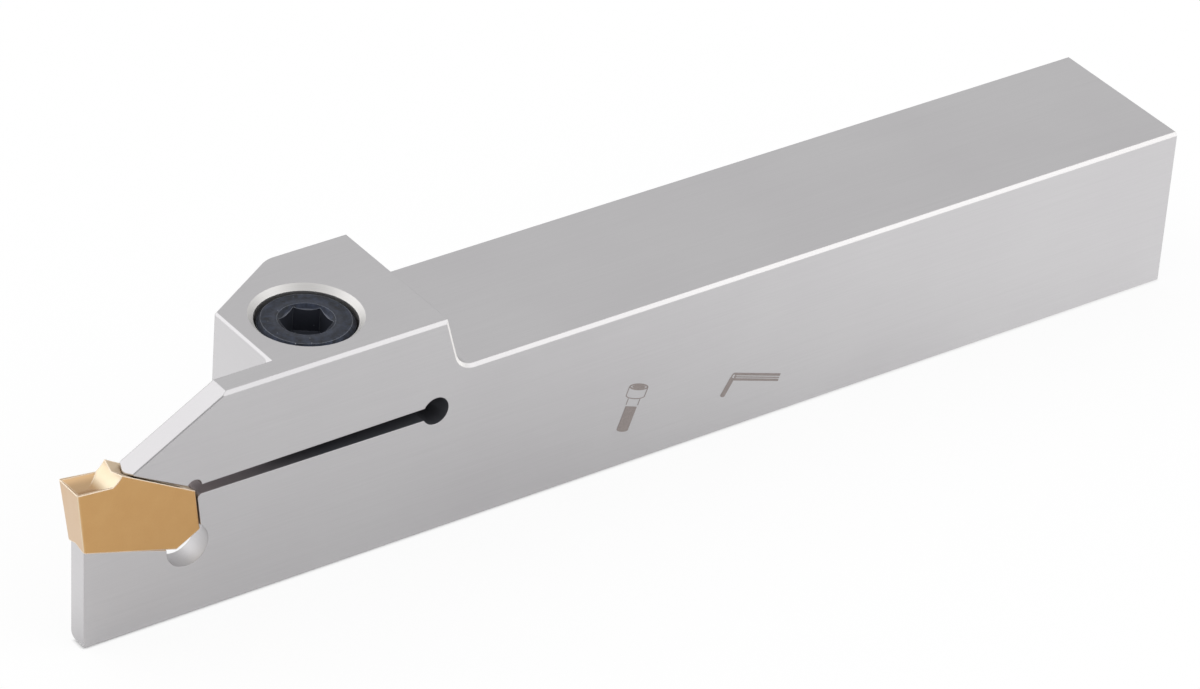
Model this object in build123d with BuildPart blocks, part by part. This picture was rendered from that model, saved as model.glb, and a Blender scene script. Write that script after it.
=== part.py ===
from build123d import *
from math import acos, cos, degrees, radians, sin, tan
import os

# A right-hand grooving tool holder for a lathe. A square shank carries a raised head, and
# a slim blade runs forward from the head's cutting side. A slit splits head and blade: a
# cap screw in the head pulls the upper jaw down onto a single-ended carbide insert, which
# sits astride a vee ridge of the fixed seat. Lengths in millimetres, angles in degrees.
#
# Frame: origin at the bottom centre of the box around the whole tool, +X from the cutting
# edge to the shank's end, +Y from the cutting side to the back, +Z up.

# Shank
overall_length = 118.0  # cutting edge to shank end
shank_width = 15.875  # a 5/8 inch square shank
shank_height = 15.875
edge_break = 0.3  # chamfer on the top edges of the cutting side
light_break = 0.1  # chamfer on the base, the shank's end and the back

# Head
head_rise = 5.3  # head top above shank top
head_front = 20.2  # cutting edge to the head's front face
head_length = 16.55  # along the top of the cutting side
head_cut_length = 8.4  # cut-off corner at the front of the back, along the shank
head_cut_width = 5.1  # the same corner, across the shank
head_corner_radius = 2.5  # between the cut-off corner and the back
front_break = 0.2  # chamfer on the top edge of the head's front
step_lean = 16.5  # rear wall of the head from upright
step_radius = 1.9  # root of that wall on the shank's top

# Blade
blade_thickness = 2.2
blade_setback = 1.0  # cutting edge to the blade's front, under the insert
blade_lean = 1.4  # blade's front from upright, below the insert
blade_root_radius = 1.0  # inside corner with the head's front face
blade_inner_radius = 0.8  # bottom edge on the inner side
blade_toe_radius = 0.3  # front bottom edge and front inner edge

# Insert, drawn from its cutting edge
edge_lift = 0.08  # cutting edge above the shank's top
insert_width = 3.0
insert_length = 12.53
insert_front_height = 6.22
corner_radius = 0.2  # upright front corners
front_clearance = 8.5
side_clearance = 2.0  # flanks lean in towards the bottom
side_taper = 1.5  # flanks close in towards the back
seat_angle = 18.1  # underside falls towards the back
clamp_angle = 28.9  # top falls towards the back
back_angle = 9.8  # back end from upright
heel_length = 2.5  # cut-off corner at the back of the underside
heel_height = 1.4
back_radius = 0.15  # upright back corners
groove_flank = 15.0  # sides of the top and bottom grooves, from flat

# Chip former
rake_drop = 6.0  # rims fall away from the cutting edge
ridge_setback = 4.35  # cutting edge to the top of the back wall
ridge_height = 0.585  # top of the back wall above the cutting edge
wall_angle = 64.0  # back wall at its top
hollow_radius = 2.35  # back wall, down into the valley between the rims
former_land = 0.1  # strip behind the cutting edge
entry_angle = 45.0  # slope down from that strip
rim_width = 0.22  # beside the valley, at the cutting edge

# Jaw
nose_setback = 0.75  # top of the insert's back wall to the tip of the jaw
nose_slope = 30.0
nose_edge_break = 0.1
jaw_flank = 22.0  # sides of the jaw's ridge, from flat
jaw_ridge_radius = 1.0  # rounded ridge, bears on both sides of the insert's groove
nose_radius = 0.15
jaw_opening = 1.5  # the jaw bears at its tip and opens towards the back

# Slit and relief holes
slit_width = 0.91  # at the insert
slit_opening = 0.8  # the clamped jaw is bent down, so the slit widens towards its end
slit_drop = 0.11  # middle of the slit below the back corner of the insert's top
slit_end_inset = 0.85  # end hole ahead of the head's rear edge
slit_end_diameter = 2.65
jaw_relief_ahead = 0.13  # of the back corner of the insert's top
jaw_relief_lift = 0.4  # above the jaw's ridge
jaw_relief_diameter = 1.5
seat_relief_ahead = 1.35  # of the insert's heel
seat_relief_below = 1.13
seat_relief_diameter = 4.12
stop_opening = 1.4  # the insert's heel touches the back stop, which opens upwards
stop_radius = 0.4  # corner of the back stop with the slit

# Clamp screw, M5 socket head cap screw
screw_setback = 6.6  # head's front face to the screw's axis
screw_inset = 6.8  # cutting side to the screw's axis
screw_diameter = 5.0
screw_length = 12.0
screw_head_diameter = 8.5
screw_head_height = 5.0
screw_head_radius = 0.4
screw_neck_radius = 0.2  # under the head
screw_tip_chamfer = 0.6
hex_size = 4.0  # across flats
hex_depth = 2.5
hex_mouth = 0.2  # countersink over the socket's corners
hex_turn = 25.5  # a corner of the socket from +X
drill_point = 118.0

# Screw hole
head_sink = 0.45  # screw head below the head's top
head_clearance = 0.25
bore_clearance = 0.25
thread_clearance = 0.02
mouth_chamfer = 0.5
base_chamfer = 0.3

# Places that follow from the sizes above
tip_x = -overall_length / 2
tip_z = shank_height + edge_lift
end_x = tip_x + overall_length
insert_overhang = max((insert_width - blade_thickness) / 2, 0)
near_y = (insert_overhang - shank_width) / 2
far_y = near_y + shank_width
blade_back_y = near_y + blade_thickness
blade_mid_y = near_y + blade_thickness / 2
blade_x = tip_x + blade_setback
head_x = tip_x + head_front
step_x = head_x + head_length
top_z = shank_height + head_rise
step_foot_x = step_x + head_rise * tan(radians(step_lean))
screw_x = head_x + screw_setback
screw_y = near_y + screw_inset
screw_seat_z = top_z - head_sink - screw_head_height
screw_tip_z = screw_seat_z - screw_length


def rise(angle, run):
    """Height gained over a horizontal run."""
    return run * tan(radians(angle))


def crossing(point_a, angle_a, point_b, angle_b):
    """Where two lines of the side view cross, each given by a point and its slope."""
    slope_a = tan(radians(angle_a))
    slope_b = tan(radians(angle_b))
    run = point_b[1] - point_a[1] + slope_a * point_a[0] - slope_b * point_b[0]
    x = run / (slope_a - slope_b)
    return (x, point_a[1] + slope_a * (x - point_a[0]))


def vee_bar(front, back, flank, half_width, radius, points_up):
    """A three-sided bar in the middle of the blade. Its sharp or rounded ridge runs between
    two points of the side view, along the bar's top or along its underside."""
    lie = Vector(back[0] - front[0], 0, back[1] - front[1])
    height = -rise(flank, half_width) if points_up else rise(flank, half_width)
    start = Plane(origin=(front[0], blade_mid_y, front[1]), x_dir=(0, 1, 0), z_dir=lie)
    side = -1 if start.y_dir.Z < 0 else 1
    with BuildPart() as bar:
        with BuildSketch(start) as section:
            with BuildLine():
                Polyline((0, 0), (half_width, side * height), (-half_width, side * height), close=True)
            make_face()
            if radius:
                fillet(section.vertices().sort_by_distance((0, 0))[0], radius)
        extrude(amount=lie.length)
    return bar.part


def foot(point, start, fall):
    """The point nearest to another on a line that falls backwards from its start."""
    run, drop = cos(radians(fall)), sin(radians(fall))
    along = (point[0] - start[0]) * run - (point[1] - start[1]) * drop
    return (start[0] + along * run, start[1] - along * drop)


def edges_at(builder, *points):
    """The edges of a part that pass nearest to some points."""
    return [builder.edges().sort_by_distance(point)[0] for point in points]


def on_wall(angle):
    """The point of the insert's hollow back wall where the wall rises at some angle."""
    side, down = sin(radians(angle)), cos(radians(angle))
    return (hollow_centre[0] + hollow_radius * side, hollow_centre[1] - hollow_radius * down)


# Side view of the insert. Its back wall is an arc that runs tangent into the bottom of a
# valley between the rims, so the radius and the rims' slope set how deep the valley is.
edge_point = (tip_x, tip_z)
bottom_front = (tip_x + rise(front_clearance, insert_front_height), tip_z - insert_front_height)
heel_start_x = tip_x + insert_length - heel_length
heel_start = (heel_start_x, bottom_front[1] - rise(seat_angle, heel_start_x - bottom_front[0]))
heel = (tip_x + insert_length, heel_start[1] + heel_height)
ridge = (tip_x + ridge_setback, tip_z + ridge_height)
hollow_centre = (
    ridge[0] - hollow_radius * sin(radians(wall_angle)),
    ridge[1] + hollow_radius * cos(radians(wall_angle)),
)
centre_above = hollow_centre[1] - tip_z + rise(rake_drop, hollow_centre[0] - tip_x)
centre_height = centre_above * cos(radians(rake_drop))
valley_depth = hollow_radius - centre_height
foot_angle = degrees(acos(centre_height / hollow_radius)) - rake_drop
wall_foot = on_wall(foot_angle)
back_top = crossing(ridge, -clamp_angle, heel, 90 + back_angle)

# Bottoms of the two grooves: the seat's ridge lies in the lower one
groove_depth = rise(groove_flank, insert_width / 2)
seat_front = (bottom_front[0], bottom_front[1] + groove_depth / cos(radians(seat_angle)))
clamp_front = (ridge[0], ridge[1] - groove_depth / cos(radians(clamp_angle)))

# Tip of the jaw, where its rounded ridge touches both sides of the upper groove
ridge_lift = jaw_ridge_radius * (1 / cos(radians(groove_flank)) - 1) / cos(radians(clamp_angle))
nose = (ridge[0] + nose_setback, clamp_front[1] + ridge_lift - rise(clamp_angle, nose_setback))
jaw_angle = clamp_angle - jaw_opening
sharp_drop = jaw_ridge_radius * (1 / cos(radians(jaw_flank)) - 1) / cos(radians(jaw_angle))
slope_x = nose[0] + (top_z - nose[1]) / tan(radians(nose_slope))

# Slit and relief holes
slit_z = back_top[1] - slit_drop
slit_floor_z = slit_z - slit_width / 2
slit_end_x = step_x - slit_end_inset
jaw_relief_x = back_top[0] - jaw_relief_ahead
jaw_relief = (jaw_relief_x, nose[1] - rise(jaw_angle, jaw_relief_x - nose[0]) + jaw_relief_lift)
seat_relief = (heel[0] - seat_relief_ahead, heel[1] - seat_relief_below)
stop_top = crossing(heel, 90 + back_angle - stop_opening, (heel[0], slit_floor_z), 0)
stop_foot = crossing(heel, 90 + back_angle - stop_opening, seat_relief, 0)

# Pocket and slit in one side view; the pocket's floor and roof run outside the two ridges
seat_depth = groove_depth / cos(radians(seat_angle))
jaw_depth = rise(jaw_flank, insert_width / 2) / cos(radians(jaw_angle))
jaw_front = (tip_x, nose[1] - sharp_drop + rise(jaw_angle, nose[0] - tip_x))
jaw_back = foot(jaw_relief, jaw_front, jaw_angle)
seat_start = (tip_x, seat_front[1] + rise(seat_angle, seat_front[0] - tip_x))
seat_back = foot(seat_relief, seat_start, seat_angle)
slit_spread = rise(slit_opening / 2, slit_end_x - jaw_relief[0])
with BuildPart() as pocket:
    with BuildSketch(Plane.XZ) as pocket_side:
        with BuildLine():
            Polyline(
                (seat_start[0], seat_start[1] - seat_depth),
                (seat_back[0], seat_back[1] - seat_depth),
                stop_foot,
                stop_top,
                (jaw_back[0], jaw_back[1] + jaw_depth),
                (jaw_front[0], jaw_front[1] + jaw_depth),
                close=True,
            )
        make_face()
        with BuildLine():
            Polyline(
                (jaw_relief[0], slit_floor_z),
                (slit_end_x, slit_floor_z - slit_spread),
                (slit_end_x, slit_floor_z + slit_width + slit_spread),
                (jaw_relief[0], slit_floor_z + slit_width),
                close=True,
            )
        make_face()
        stop_corner = pocket_side.vertices().sort_by_distance(stop_top)[0]
        fillet(stop_corner, stop_radius)
    extrude(amount=shank_width, both=True)
    add(
        vee_bar(seat_start, seat_back, groove_flank, insert_width, 0, True),
        mode=Mode.SUBTRACT,
    )
    add(
        vee_bar(jaw_front, jaw_back, jaw_flank, insert_width, jaw_ridge_radius, False),
        mode=Mode.SUBTRACT,
    )

# Screw hole: recess for the screw's head, free bore through the jaw, thread to the base
screw_axis = Axis((screw_x, screw_y, 0), (0, 0, 1))
screw_side = Plane(origin=(screw_x, screw_y, 0), x_dir=(1, 0, 0), z_dir=(0, -1, 0))
recess_radius = screw_head_diameter / 2 + head_clearance
bore_radius = screw_diameter / 2 + bore_clearance
thread_radius = screw_diameter / 2 + thread_clearance
with BuildPart() as screw_hole:
    with BuildSketch(screw_side):
        with BuildLine():
            Polyline(
                (0, -base_chamfer),
                (thread_radius + 2 * base_chamfer, -base_chamfer),
                (thread_radius, base_chamfer),
                (thread_radius, slit_z),
                (bore_radius, slit_z),
                (bore_radius, screw_seat_z),
                (recess_radius, screw_seat_z),
                (recess_radius, top_z - mouth_chamfer),
                (recess_radius + 2 * mouth_chamfer, top_z + mouth_chamfer),
                (0, top_z + mouth_chamfer),
                close=True,
            )
        make_face()
    revolve(axis=screw_axis)

# Rounding tool for the blade's bottom edge on the inner side, up to the corner at the head
inner_run = blade_setback + head_front - blade_root_radius
with BuildPart() as inner_rounding:
    with BuildSketch(Plane.YZ.offset(tip_x)):
        with Locations((blade_back_y, 0)):
            Rectangle(2 * blade_inner_radius, 2 * blade_inner_radius)
        with Locations((blade_back_y - blade_inner_radius, blade_inner_radius)):
            Circle(blade_inner_radius, mode=Mode.SUBTRACT)
    extrude(amount=inner_run)

# Holder body: plan outline and side view, ground edges, then the slit and the pocket
blade_toe_x = blade_x + rise(blade_lean, bottom_front[1])
with BuildPart() as holder_body:
    with BuildSketch() as plan:
        with BuildLine():
            Polyline(
                (blade_x, near_y),
                (end_x, near_y),
                (end_x, far_y),
                (head_x + head_cut_length, far_y),
                (head_x, far_y - head_cut_width),
                (head_x, blade_back_y),
                (blade_x, blade_back_y),
                close=True,
            )
        make_face()
        head_corner = plan.vertices().sort_by_distance((head_x + head_cut_length, far_y))[0]
        fillet(head_corner, head_corner_radius)
    extrude(amount=top_z)
    with BuildSketch(Plane.XZ) as side:
        with BuildLine():
            Polyline(
                (blade_toe_x, 0),
                (end_x, 0),
                (end_x, shank_height),
                (step_foot_x, shank_height),
                (step_x, top_z),
                (slope_x, top_z),
                (blade_x, top_z - rise(nose_slope, slope_x - blade_x)),
                (blade_x, bottom_front[1]),
                close=True,
            )
        make_face()
        step_foot = side.vertices().sort_by_distance((step_foot_x, shank_height))[0]
        fillet(step_foot, step_radius)
    extrude(amount=shank_width, both=True, mode=Mode.INTERSECT)

    # Broken edges: the cutting side's top and the head's front, then the rest of the outline
    front_middle_y = (blade_back_y + far_y - head_cut_width) / 2
    wall_middle_x = (step_x + step_foot_x) / 2
    wall_middle_z = (shank_height + top_z) / 2
    chamfer(
        edges_at(
            holder_body,
            (head_x, near_y, top_z),
            (wall_middle_x, near_y, wall_middle_z),
        ),
        edge_break,
    )
    chamfer(edges_at(holder_body, (head_x, front_middle_y, top_z)), front_break)
    chamfer(
        holder_body.faces().sort_by(Axis.X)[-1].edges()
        + edges_at(
            holder_body,
            (head_x + head_cut_length / 2, far_y - head_cut_width / 2, top_z),
            (wall_middle_x, far_y, wall_middle_z),
            (0, near_y, 0),
            (0, far_y, 0),
            (head_x, front_middle_y, 0),
        ),
        light_break,
    )
    chamfer(edges_at(holder_body, (nose[0], near_y, nose[1] + 1)), nose_edge_break)

    # Inside corner of the blade, its rounded inner edge and its rounded toe
    fillet(edges_at(holder_body, (head_x, blade_back_y, shank_height / 2)), blade_root_radius)
    add(inner_rounding.part, mode=Mode.SUBTRACT)
    fillet(edges_at(holder_body, (blade_toe_x, blade_mid_y, 0)), blade_toe_radius)

    # Pocket, slit, relief holes and screw hole
    add(pocket.part, mode=Mode.SUBTRACT)
    with BuildSketch(Plane.XZ):
        with Locations(seat_relief):
            Circle(seat_relief_diameter / 2)
        with Locations(jaw_relief):
            Circle(jaw_relief_diameter / 2)
        with Locations((slit_end_x, slit_z)):
            Circle(slit_end_diameter / 2)
    extrude(amount=shank_width, both=True, mode=Mode.SUBTRACT)
    add(screw_hole.part, mode=Mode.SUBTRACT)

    # Rounded tip of the jaw, over the ridge and along both sides of it
    flank_middle = (nose[0] + nose_radius, nose[1] + rise(nose_slope, nose_radius))
    nose_edges = edges_at(
        holder_body,
        (nose[0], blade_mid_y, nose[1]),
        (flank_middle[0], near_y + blade_thickness / 4, flank_middle[1]),
        (flank_middle[0], blade_back_y - blade_thickness / 4, flank_middle[1]),
    )
    fillet(nose_edges, nose_radius)

# Clamp screw, turned about its axis, with a hexagon socket; the thread is a plain cylinder
head_radius = screw_head_diameter / 2
shank_radius = screw_diameter / 2
head_top_z = screw_seat_z + screw_head_height
socket_floor_z = head_top_z - hex_depth
hex_corner_radius = hex_size / 2 / cos(radians(30))
hex_point = rise(90 - drill_point / 2, hex_size / 2)
with BuildPart() as clamp_screw:
    with BuildSketch(screw_side) as screw_profile:
        with BuildLine():
            Polyline(
                (0, screw_tip_z),
                (shank_radius - screw_tip_chamfer, screw_tip_z),
                (shank_radius, screw_tip_z + screw_tip_chamfer),
                (shank_radius, screw_seat_z),
                (head_radius, screw_seat_z),
                (head_radius, head_top_z),
                (0, head_top_z),
                close=True,
            )
        make_face()
        neck = screw_profile.vertices().sort_by_distance((shank_radius, screw_seat_z))[0]
        fillet(neck, screw_neck_radius)
        rim = screw_profile.vertices().sort_by_distance((head_radius, head_top_z))[0]
        fillet(rim, screw_head_radius)
    revolve(axis=screw_axis)
    with BuildSketch(Plane(origin=(screw_x, screw_y, head_top_z))):
        RegularPolygon(hex_corner_radius, 6, rotation=hex_turn)
    extrude(amount=-hex_depth, mode=Mode.SUBTRACT)
    with BuildSketch(screw_side):
        with BuildLine():
            Polyline(
                (0, socket_floor_z - hex_point),
                (hex_size / 2, socket_floor_z),
                (hex_size / 2, head_top_z - hex_mouth),
                (hex_corner_radius, head_top_z - hex_mouth),
                (hex_corner_radius + hex_mouth, head_top_z),
                (0, head_top_z),
                close=True,
            )
        make_face()
    revolve(axis=screw_axis, mode=Mode.SUBTRACT)

# Chip former: a side view with a land, a steep entry, the valley's bottom and the hollow
# back wall, met by the rounded section of the valley
land_end = (tip_x + former_land, tip_z - rise(rake_drop, former_land))
valley_end = on_wall(-rake_drop)
entry_foot = crossing(land_end, -entry_angle, valley_end, -rake_drop)
wall_over = (ridge[0] + insert_width / tan(radians(wall_angle)), ridge[1] + insert_width)
valley_half = insert_width / 2 - rim_width
rake_line = Vector(cos(radians(rake_drop)), 0, -sin(radians(rake_drop)))
with BuildPart() as chip_former:
    with BuildSketch(Plane.XZ):
        with BuildLine():
            Line((land_end[0], wall_over[1]), land_end)
            Line(land_end, entry_foot)
            Line(entry_foot, valley_end)
            ThreePointArc(valley_end, on_wall(wall_angle / 2), ridge)
            Line(ridge, wall_over)
            Line(wall_over, (land_end[0], wall_over[1]))
        make_face()
    extrude(amount=shank_width, both=True)
    with BuildSketch(Plane(origin=(tip_x, blade_mid_y, tip_z), x_dir=(0, 1, 0), z_dir=rake_line)):
        with BuildLine():
            ThreePointArc((-valley_half, 0), (0, -valley_depth), (valley_half, 0))
            Line((valley_half, 0), (valley_half, insert_width))
            Line((valley_half, insert_width), (-valley_half, insert_width))
            Line((-valley_half, insert_width), (-valley_half, 0))
        make_face()
    extrude(amount=insert_length, mode=Mode.INTERSECT)

# Insert: side view, flanks that lean in, grooves above and below, then the chip former
flank_in = tan(radians(side_taper))
flank_down = tan(radians(side_clearance))
cutting_flank = Plane(
    origin=(tip_x, blade_mid_y - insert_width / 2, tip_z), z_dir=(-flank_in, 1, flank_down)
)
back_flank = Plane(
    origin=(tip_x, blade_mid_y + insert_width / 2, tip_z), z_dir=(-flank_in, -1, flank_down)
)
clamp_start = (tip_x, clamp_front[1] + rise(clamp_angle, clamp_front[0] - tip_x))
clamp_back = (heel[0], clamp_front[1] - rise(clamp_angle, heel[0] - clamp_front[0]))
with BuildPart() as cutting_insert:
    with BuildSketch(Plane.XZ.offset(-blade_mid_y)):
        with BuildLine():
            Polyline(wall_foot, edge_point, bottom_front, heel_start, heel, back_top, ridge)
            ThreePointArc(ridge, on_wall((wall_angle + foot_angle) / 2), wall_foot)
        make_face()
    extrude(amount=insert_width, both=True)
    split(bisect_by=cutting_flank, keep=Keep.TOP)
    split(bisect_by=back_flank, keep=Keep.TOP)
    add(
        vee_bar(seat_start, seat_back, groove_flank, insert_width, 0, True),
        mode=Mode.SUBTRACT,
    )
    add(
        vee_bar(clamp_start, clamp_back, groove_flank, insert_width, 0, False),
        mode=Mode.SUBTRACT,
    )
    add(chip_former.part, mode=Mode.SUBTRACT)
    front_edges = edges_at(
        cutting_insert,
        (blade_x, blade_mid_y - insert_width / 2, tip_z - insert_front_height / 2),
        (blade_x, blade_mid_y + insert_width / 2, tip_z - insert_front_height / 2),
    )
    fillet(front_edges, corner_radius)
    back_z = (heel[1] + slit_floor_z) / 2
    back_edges = edges_at(
        cutting_insert,
        (heel[0], blade_mid_y - insert_width / 2, back_z),
        (heel[0], blade_mid_y + insert_width / 2, back_z),
    )
    fillet(back_edges, back_radius)

# One file per piece
os.makedirs("parts", exist_ok=True)
holder_body.part.label = "holder_body"
clamp_screw.part.label = "clamp_screw"
cutting_insert.part.label = "cutting_insert"
export_step(holder_body.part, "parts/holder_body.step")
export_step(clamp_screw.part, "parts/clamp_screw.step")
export_step(cutting_insert.part, "parts/cutting_insert.step")
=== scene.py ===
from math import cos, pi, radians, sin, tan

import bmesh
import bpy
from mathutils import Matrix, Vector


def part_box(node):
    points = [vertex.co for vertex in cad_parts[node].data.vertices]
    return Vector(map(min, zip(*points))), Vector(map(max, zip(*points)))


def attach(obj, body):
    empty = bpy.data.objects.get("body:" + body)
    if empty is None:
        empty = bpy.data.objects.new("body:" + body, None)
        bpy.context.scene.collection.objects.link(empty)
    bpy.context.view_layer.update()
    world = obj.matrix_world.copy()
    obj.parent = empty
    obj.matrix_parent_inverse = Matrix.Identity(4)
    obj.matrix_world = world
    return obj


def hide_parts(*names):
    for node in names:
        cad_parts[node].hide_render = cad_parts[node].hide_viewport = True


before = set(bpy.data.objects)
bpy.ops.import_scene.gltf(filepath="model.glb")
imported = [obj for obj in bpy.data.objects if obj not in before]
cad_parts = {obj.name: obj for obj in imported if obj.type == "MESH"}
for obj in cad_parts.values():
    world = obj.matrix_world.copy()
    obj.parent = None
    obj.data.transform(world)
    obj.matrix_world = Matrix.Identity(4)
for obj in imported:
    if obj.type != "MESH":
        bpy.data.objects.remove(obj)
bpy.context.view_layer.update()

mm = 0.001

# Holder body. A bar of hardened alloy steel, sawn, milled and then ground bright on every
# outer face. The slit and the pocket are wire-cut, the holes drilled, the recess turned, and
# the ground edges are broken with a fine chamfer.
slit_height = 12.32 * mm
slit_half_width = 0.62 * mm
slit_start = -48.0 * mm
slit_stop = -21.0 * mm
slit_end = (-23.10 * mm, 12.32 * mm, 1.42 * mm)  # its hole: along, up, a little over its radius
jaw_relief = (-47.34 * mm, 12.71 * mm, 0.9 * mm)
seat_relief = (-47.82 * mm, 7.03 * mm, 2.1 * mm)
shade_depth_from_mouth = 14 * mm  # how far in from the slit's mouth the painted shade on its walls deepens
recess_radius = 5.6 * mm  # a little over that of the recess's chamfered mouth
# radius of the rounded edge normals and of the paler edge band, mostly painted highlight
rub_and_glint_width = 0.09 * mm
blade_end = -38.8 * mm  # where the head begins
brightest_edge_from = 10 * mm  # from here on, the shank's edge gets its strongest painted highlight
chamfer_lean = -0.707  # the Y of a normal that leans to the near side by 45 degrees
lay_width = 0.1 * mm  # one grinding line; the real ones are finer and wouldn't show
lay_length = 9 * mm
lay_depth = 0.0015 * mm
turning_step = 0.14 * mm  # one ring of the turned recess
cloud_size = 14 * mm


def linear(colour):
    """An sRGB hex colour as linear red, green, blue and alpha."""
    parts = [int(colour[i:i + 2], 16) / 255 for i in (1, 3, 5)]
    return [p / 12.92 if p <= 0.04045 else ((p + 0.055) / 1.055) ** 2.4 for p in parts] + [1.0]


def add_node(tree, kind, settings=None, links=None):
    """Adds a node with its settings, by property or input, and with what feeds its inputs."""
    node = tree.nodes.new("ShaderNode" + kind)
    for name, value in (settings or {}).items():
        if isinstance(name, int) or name in node.inputs.keys():
            node.inputs[name].default_value = value
        else:
            setattr(node, name, value)
    for name, output in (links or {}).items():
        tree.links.new(output, node.inputs[name])
    return node


def new_material(name):
    """An empty material, with its node tree and the surface socket of its output."""
    made = bpy.data.materials.new(name)
    made.use_nodes = True
    made.node_tree.nodes.clear()
    output = add_node(made.node_tree, "OutputMaterial")
    return made, made.node_tree, output.inputs["Surface"]


# Ground alloy steel: bright and cool grey, satin, with fine lines along the bar, paler along its
# near edges from rubbing and a painted highlight, ringed where it was turned, and matt where wire
# has cut, with painted shade on the cut walls.
ground_steel, tree, surface = new_material("ground_alloy_steel")
place = add_node(tree, "TexCoord").outputs["Object"]
normal = add_node(tree, "NewGeometry").outputs["Normal"]
facing = add_node(tree, "SeparateXYZ", links={0: normal})
across_end = add_node(tree, "Math", {"operation": "ABSOLUTE"}, {0: facing.outputs["X"]})
end_face = add_node(
    tree, "MapRange", {"From Min": 0.75, "From Max": 0.95}, {0: across_end.outputs[0]}
)
long_lay = add_node(
    tree, "Mapping", {"Scale": (1 / lay_length, 1 / lay_width, 1 / lay_width)}, {0: place}
)
end_lay = add_node(
    tree, "Mapping", {"Scale": (1 / lay_width, 1 / lay_length, 1 / lay_width)}, {0: place}
)
long_lines = add_node(
    tree, "TexNoise", {"Scale": 1.0, "Detail": 3.0, "Roughness": 0.6}, {0: long_lay.outputs[0]}
)
end_lines = add_node(
    tree, "TexNoise", {"Scale": 1.0, "Detail": 3.0, "Roughness": 0.6}, {0: end_lay.outputs[0]}
)
ground_lines = add_node(
    tree,
    "Mix",
    {"data_type": "FLOAT"},
    {0: end_face.outputs[0], 2: long_lines.outputs[0], 3: end_lines.outputs[0]},
)

# Rings of the turned recess, centred on the screw
screw_low, screw_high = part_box("clamp_screw")
screw_axis = (screw_low + screw_high) / 2
from_axis = add_node(
    tree, "Mapping", {"Location": (-screw_axis.x, -screw_axis.y, 0)}, {0: place}
)
flat = add_node(
    tree, "VectorMath", {"operation": "MULTIPLY", 1: (1, 1, 0)}, {0: from_axis.outputs[0]}
)
radius = add_node(tree, "VectorMath", {"operation": "LENGTH"}, {0: flat.outputs[0]})
height = add_node(tree, "SeparateXYZ", links={0: place})
ring_place = add_node(
    tree, "CombineXYZ", links={0: radius.outputs["Value"], 1: height.outputs["Z"]}
)
rings = add_node(
    tree,
    "TexNoise",
    {"Scale": 1 / turning_step, "Detail": 2.0, "Roughness": 0.7},
    {0: ring_place.outputs[0]},
)
near_screw = add_node(
    tree, "Math", {"operation": "LESS_THAN", 1: recess_radius}, {0: radius.outputs["Value"]}
)
level = add_node(tree, "Math", {"operation": "ABSOLUTE"}, {0: facing.outputs["Z"]})
sloped = add_node(tree, "Math", {"operation": "LESS_THAN", 1: 0.9}, {0: level.outputs[0]})
turned = add_node(
    tree, "Math", {"operation": "MULTIPLY"}, {0: near_screw.outputs[0], 1: sloped.outputs[0]}
)
lines = add_node(
    tree,
    "Mix",
    {"data_type": "FLOAT"},
    {0: turned.outputs[0], 2: ground_lines.outputs[0], 3: rings.outputs[0]},
)

# Walls of the slit and of its two small holes, dull from the wire, with painted shade that
# darkens them inward from a pale mouth
sideways = add_node(tree, "Math", {"operation": "ABSOLUTE"}, {0: facing.outputs["Y"]})
inner = add_node(tree, "Math", {"operation": "LESS_THAN", 1: 0.5}, {0: sideways.outputs[0]})
slit_low = add_node(
    tree,
    "Math",
    {"operation": "COMPARE", 1: slit_height, 2: slit_half_width},
    {0: height.outputs["Z"]},
)
slit_long = add_node(
    tree,
    "Math",
    {
        "operation": "COMPARE",
        1: (slit_start + slit_stop) / 2,
        2: (slit_stop - slit_start) / 2,
    },
    {0: height.outputs["X"]},
)
slit_zone = add_node(
    tree, "Math", {"operation": "MULTIPLY"}, {0: slit_low.outputs[0], 1: slit_long.outputs[0]}
)


def hole_zone(along, up, reach):
    """Is 1 on whatever lies within reach of a cross hole's axis, and 0 elsewhere."""
    from_hole = add_node(tree, "Mapping", {"Location": (-along, 0, -up)}, {0: place})
    off_axis = add_node(
        tree, "VectorMath", {"operation": "MULTIPLY", 1: (1, 0, 1)}, {0: from_hole.outputs[0]}
    )
    far = add_node(tree, "VectorMath", {"operation": "LENGTH"}, {0: off_axis.outputs[0]})
    return add_node(
        tree, "Math", {"operation": "LESS_THAN", 1: reach}, {0: far.outputs["Value"]}
    ).outputs[0]


with_end = add_node(
    tree, "Math", {"operation": "MAXIMUM"}, {0: slit_zone.outputs[0], 1: hole_zone(*slit_end)}
)
with_relief = add_node(
    tree, "Math", {"operation": "MAXIMUM"}, {0: with_end.outputs[0], 1: hole_zone(*jaw_relief)}
)
wire_cut = add_node(
    tree, "Math", {"operation": "MULTIPLY"}, {0: with_relief.outputs[0], 1: inner.outputs[0]}
)
bored = add_node(
    tree, "Math", {"operation": "MULTIPLY"}, {0: hole_zone(*seat_relief), 1: inner.outputs[0]}
)

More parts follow.
